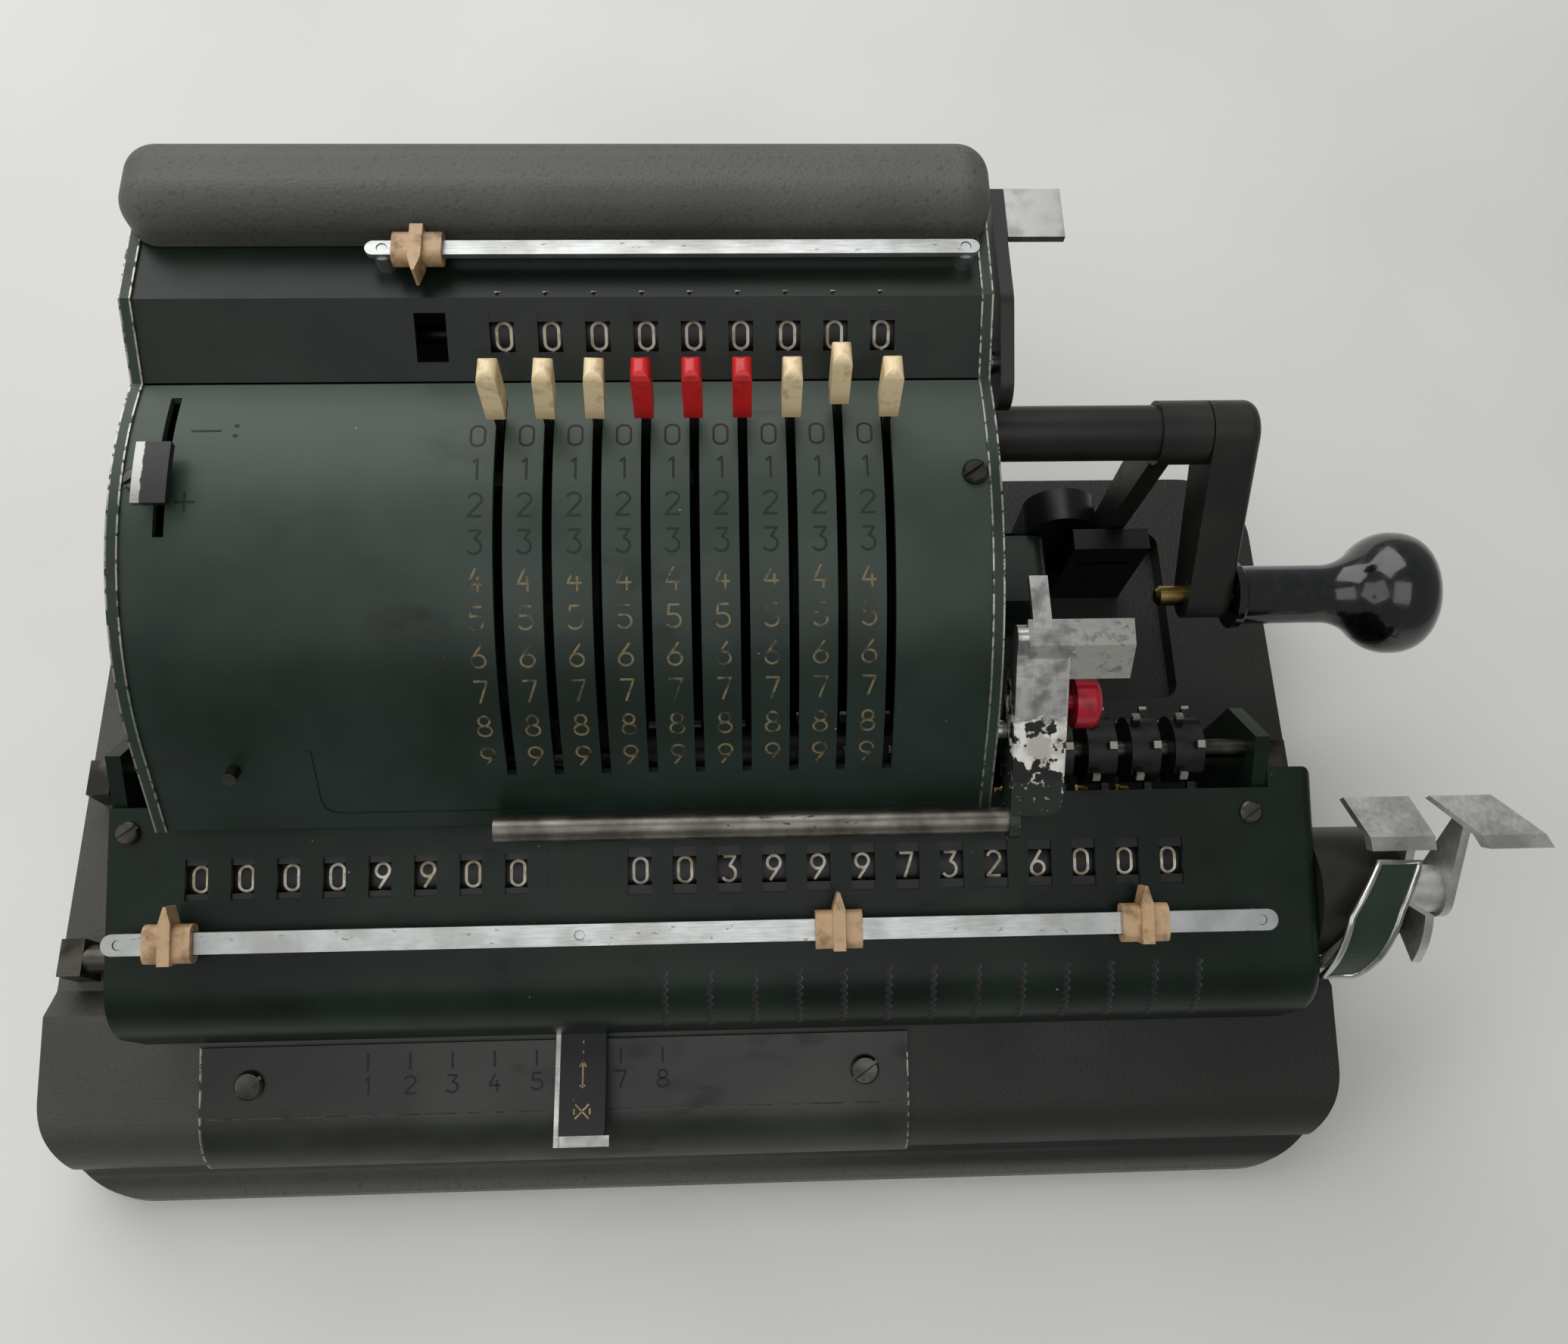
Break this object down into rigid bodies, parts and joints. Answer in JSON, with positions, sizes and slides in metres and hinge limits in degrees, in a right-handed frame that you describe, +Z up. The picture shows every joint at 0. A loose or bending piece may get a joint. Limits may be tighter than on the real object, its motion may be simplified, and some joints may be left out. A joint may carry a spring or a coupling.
{
  "type": "pinwheel calculator",
  "caption": "Desktop pinwheel calculator with setting levers on a drum, a sliding carriage with number windows, and a side crank.",
  "frame": {"origin": "centre of the base's footprint on the table", "axes": "+X to the operator's right along the carriage, +Y away from the operator, +Z up"},
  "size_m": [0.3198, 0.188, 0.13],
  "materials": {
    "base_paint": "semi-gloss",
    "green_paint": "satin",
    "crinkle_paint": "crinkle, matt",
    "black_plate": "satin",
    "black_paint": "gloss",
    "bright_steel": "bright, worn",
    "dark_steel": "oiled",
    "chrome": "mirror",
    "brass": "satin",
    "ivory_plastic": "satin",
    "red_plastic": "satin",
    "tan_plastic": "satin",
    "black_plastic": "gloss",
    "wheel_enamel": "satin, white figures",
    "rubber": "matt"
  },
  "bodies": {
    "machine": {"base_casting": "base_paint", "rubber_feet": "rubber", "number_plate": "black_plate", "left_side_plate": "green_paint", "right_side_plate": "green_paint", "drum_cover": "green_paint", "window_panel": "green_paint", "top_cover": "crinkle_paint", "upper_decimal_bar": "bright_steel", "body_shafts": "dark_steel", "pivot_pins": "bright_steel", "carriage_rails": "bright_steel", "crank_bearing": "green_paint", "outboard_bracket": "green_paint", "stop_block": "black_paint", "gear_bracket": "green_paint", "drive_housing": "black_paint", "body_screws": "bright_steel"},
    "rotor": {"pinwheel_shaft": "dark_steel", "pinwheels": "dark_steel"},
    "idler": {"idler_gear": "dark_steel"},
    "check_register": {"check_wheels": "wheel_enamel"},
    "pinions": {"intermediate_gears": "brass"},
    "crank": {"crank_shaft": "dark_steel", "crank_arm": "black_paint", "crank_spindle": "brass"},
    "grip": {"crank_grip": "black_plastic"},
    "carriage": {"carriage_cover": "green_paint", "carriage_left_end": "green_paint", "carriage_right_end": "green_paint", "carriage_shafts": "bright_steel", "lower_decimal_bar": "bright_steel", "clearing_drum": "black_paint", "carriage_screws": "bright_steel"},
    "carry": {"carry_drums": "dark_steel"},
    "transfer": {"transfer_gears": "brass"},
    "counter_register": {"counter_wheels": "wheel_enamel"},
    "result_register": {"result_wheels": "wheel_enamel"},
    "key": {"shift_key": "black_paint", "shift_key_bar": "chrome"},
    "result_clear": {"result_clear_lever": "chrome"},
    "counter_clear": {"counter_clear_lever": "chrome"},
    "upper_marker": {"upper_decimal_marker": "tan_plastic"},
    "lower_marker_1": {"lower_decimal_marker_1": "tan_plastic"},
    "lower_marker_2": {"lower_decimal_marker_2": "tan_plastic"},
    "lower_marker_3": {"lower_decimal_marker_3": "tan_plastic"},
    "sign": {"sign_lever": "chrome"},
    "setting_clear": {"setting_clear_lever": "chrome"},
    "back_transfer": {"back_transfer_lever": "green_paint", "back_transfer_rod": "bright_steel"},
    "knob": {"red_knob": "red_plastic"},
    "setting_1": {"setting_lever_1": "ivory_plastic"},
    "setting_2": {"setting_lever_2": "ivory_plastic"},
    "setting_3": {"setting_lever_3": "ivory_plastic"},
    "setting_4": {"setting_lever_4": "red_plastic"},
    "setting_5": {"setting_lever_5": "red_plastic"},
    "setting_6": {"setting_lever_6": "red_plastic"},
    "setting_7": {"setting_lever_7": "ivory_plastic"},
    "setting_8": {"setting_lever_8": "ivory_plastic"},
    "setting_9": {"setting_lever_9": "ivory_plastic"}
  },
  "joints": [
    {"name": "rotor_turn", "type": "hinge", "parent": "machine", "child": "rotor", "pos_m": [0, 0.044, 0.048], "axis": [1, 0, 0], "continuous": true},
    {"name": "crank_turn", "type": "hinge", "parent": "machine", "child": "crank", "pos_m": [0.05, 0.0593, 0.0901], "axis": [1, 0, 0], "continuous": true},
    {"name": "idler_turn", "type": "hinge", "parent": "machine", "child": "idler", "pos_m": [0.05, 0.05165, 0.06905], "axis": [1, 0, 0], "continuous": true},
    {"name": "grip_spin", "type": "hinge", "parent": "crank", "child": "grip", "pos_m": [0.14, 0.0336, 0.064], "axis": [1, 0, 0], "continuous": true},
    {"name": "check_turn", "type": "hinge", "parent": "machine", "child": "check_register", "pos_m": [0, 0.07326, 0.10611], "axis": [1, 0, 0], "continuous": true},
    {"name": "pinion_turn", "type": "hinge", "parent": "machine", "child": "pinions", "pos_m": [0, 0.0026, 0.0492], "axis": [1, 0, 0], "continuous": true},
    {"name": "carriage_slide", "type": "slide", "parent": "machine", "child": "carriage", "axis": [1, 0, 0], "range_m": [-0.036, 0.027]},
    {"name": "carry_turn", "type": "hinge", "parent": "carriage", "child": "carry", "pos_m": [0, -0.0022, 0.066], "axis": [1, 0, 0], "continuous": true},
    {"name": "result_turn", "type": "hinge", "parent": "carriage", "child": "result_register", "pos_m": [0, -0.0227, 0.05451], "axis": [1, 0, 0], "continuous": true},
    {"name": "transfer_turn", "type": "hinge", "parent": "carriage", "child": "transfer", "pos_m": [0, -0.0103, 0.0482], "axis": [1, 0, 0], "continuous": true},
    {"name": "counter_turn", "type": "hinge", "parent": "carriage", "child": "counter_register", "pos_m": [0, -0.0227, 0.05451], "axis": [1, 0, 0], "continuous": true},
    {"name": "key_tilt", "type": "hinge", "parent": "carriage", "child": "key", "pos_m": [-0.0244, -0.0529, 0.0358], "axis": [1, 0, 0], "range_deg": [0, 4], "stiffness_Nm_per_rad": 0.05, "springref_deg": -5.73},
    {"name": "result_clear_turn", "type": "hinge", "parent": "carriage", "child": "result_clear", "pos_m": [0.147, -0.03, 0.052], "axis": [1, 0, 0], "range_deg": [0, 40], "stiffness_Nm_per_rad": 0.05, "springref_deg": -17.19},
    {"name": "counter_clear_turn", "type": "hinge", "parent": "carriage", "child": "counter_clear", "pos_m": [0.147, -0.03, 0.052], "axis": [1, 0, 0], "range_deg": [0, 40], "stiffness_Nm_per_rad": 0.05, "springref_deg": -17.19},
    {"name": "upper_marker_slide", "type": "slide", "parent": "machine", "child": "upper_marker", "axis": [1, 0, 0], "range_m": [0, 0.094]},
    {"name": "lower_marker_1_slide", "type": "slide", "parent": "carriage", "child": "lower_marker_1", "axis": [1, 0, 0], "range_m": [-0.003, 0.072]},
    {"name": "lower_marker_2_slide", "type": "slide", "parent": "carriage", "child": "lower_marker_2", "axis": [1, 0, 0], "range_m": [-0.044, 0.02]},
    {"name": "lower_marker_3_slide", "type": "slide", "parent": "carriage", "child": "lower_marker_3", "axis": [1, 0, 0], "range_m": [-0.03, 0.017]},
    {"name": "setting_1_turn", "type": "hinge", "parent": "machine", "child": "setting_1", "pos_m": [-0.034, 0.044, 0.048], "axis": [1, 0, 0], "range_deg": [0, 56.7]},
    {"name": "setting_2_turn", "type": "hinge", "parent": "machine", "child": "setting_2", "pos_m": [-0.025, 0.044, 0.048], "axis": [1, 0, 0], "range_deg": [0, 56.7]},
    {"name": "setting_3_turn", "type": "hinge", "parent": "machine", "child": "setting_3", "pos_m": [-0.016, 0.044, 0.048], "axis": [1, 0, 0], "range_deg": [0, 56.7]},
    {"name": "setting_4_turn", "type": "hinge", "parent": "machine", "child": "setting_4", "pos_m": [-0.007, 0.044, 0.048], "axis": [1, 0, 0], "range_deg": [0, 56.7]},
    {"name": "setting_5_turn", "type": "hinge", "parent": "machine", "child": "setting_5", "pos_m": [0.002, 0.044, 0.048], "axis": [1, 0, 0], "range_deg": [0, 56.7]},
    {"name": "setting_6_turn", "type": "hinge", "parent": "machine", "child": "setting_6", "pos_m": [0.011, 0.044, 0.048], "axis": [1, 0, 0], "range_deg": [0, 56.7]},
    {"name": "setting_7_turn", "type": "hinge", "parent": "machine", "child": "setting_7", "pos_m": [0.02, 0.044, 0.048], "axis": [1, 0, 0], "range_deg": [0, 56.7]},
    {"name": "setting_8_turn", "type": "hinge", "parent": "machine", "child": "setting_8", "pos_m": [0.029, 0.044, 0.048], "axis": [1, 0, 0], "range_deg": [0, 59.1]},
    {"name": "setting_9_turn", "type": "hinge", "parent": "machine", "child": "setting_9", "pos_m": [0.038, 0.044, 0.048], "axis": [1, 0, 0], "range_deg": [0, 56.7]},
    {"name": "sign_turn", "type": "hinge", "parent": "machine", "child": "sign", "pos_m": [-0.0948, 0.044, 0.048], "axis": [1, 0, 0], "range_deg": [-11, 0]},
    {"name": "setting_clear_turn", "type": "hinge", "parent": "machine", "child": "setting_clear", "pos_m": [0.0619, 0.066, 0.106], "axis": [1, 0, 0], "range_deg": [-15, 0], "stiffness_Nm_per_rad": 0.1, "springref_deg": 17.19},
    {"name": "back_transfer_turn", "type": "hinge", "parent": "machine", "child": "back_transfer", "pos_m": [0.0625, -0.00301, 0.08401], "axis": [1, 0, 0], "range_deg": [-10, 0], "stiffness_Nm_per_rad": 0.1, "springref_deg": 17.19},
    {"name": "knob_push", "type": "slide", "parent": "back_transfer", "child": "knob", "axis": [-1, 0, 0], "range_m": [0, 0.0015], "stiffness_N_per_m": 200, "springref_m": -0.002}
  ],
  "couplings": [
    {"joint": "crank_turn", "follows": "rotor_turn", "ratio": 1},
    {"joint": "idler_turn", "follows": "rotor_turn", "ratio": -1.6667},
    {"joint": "transfer_turn", "follows": "result_turn", "ratio": -1.25}
  ]
}
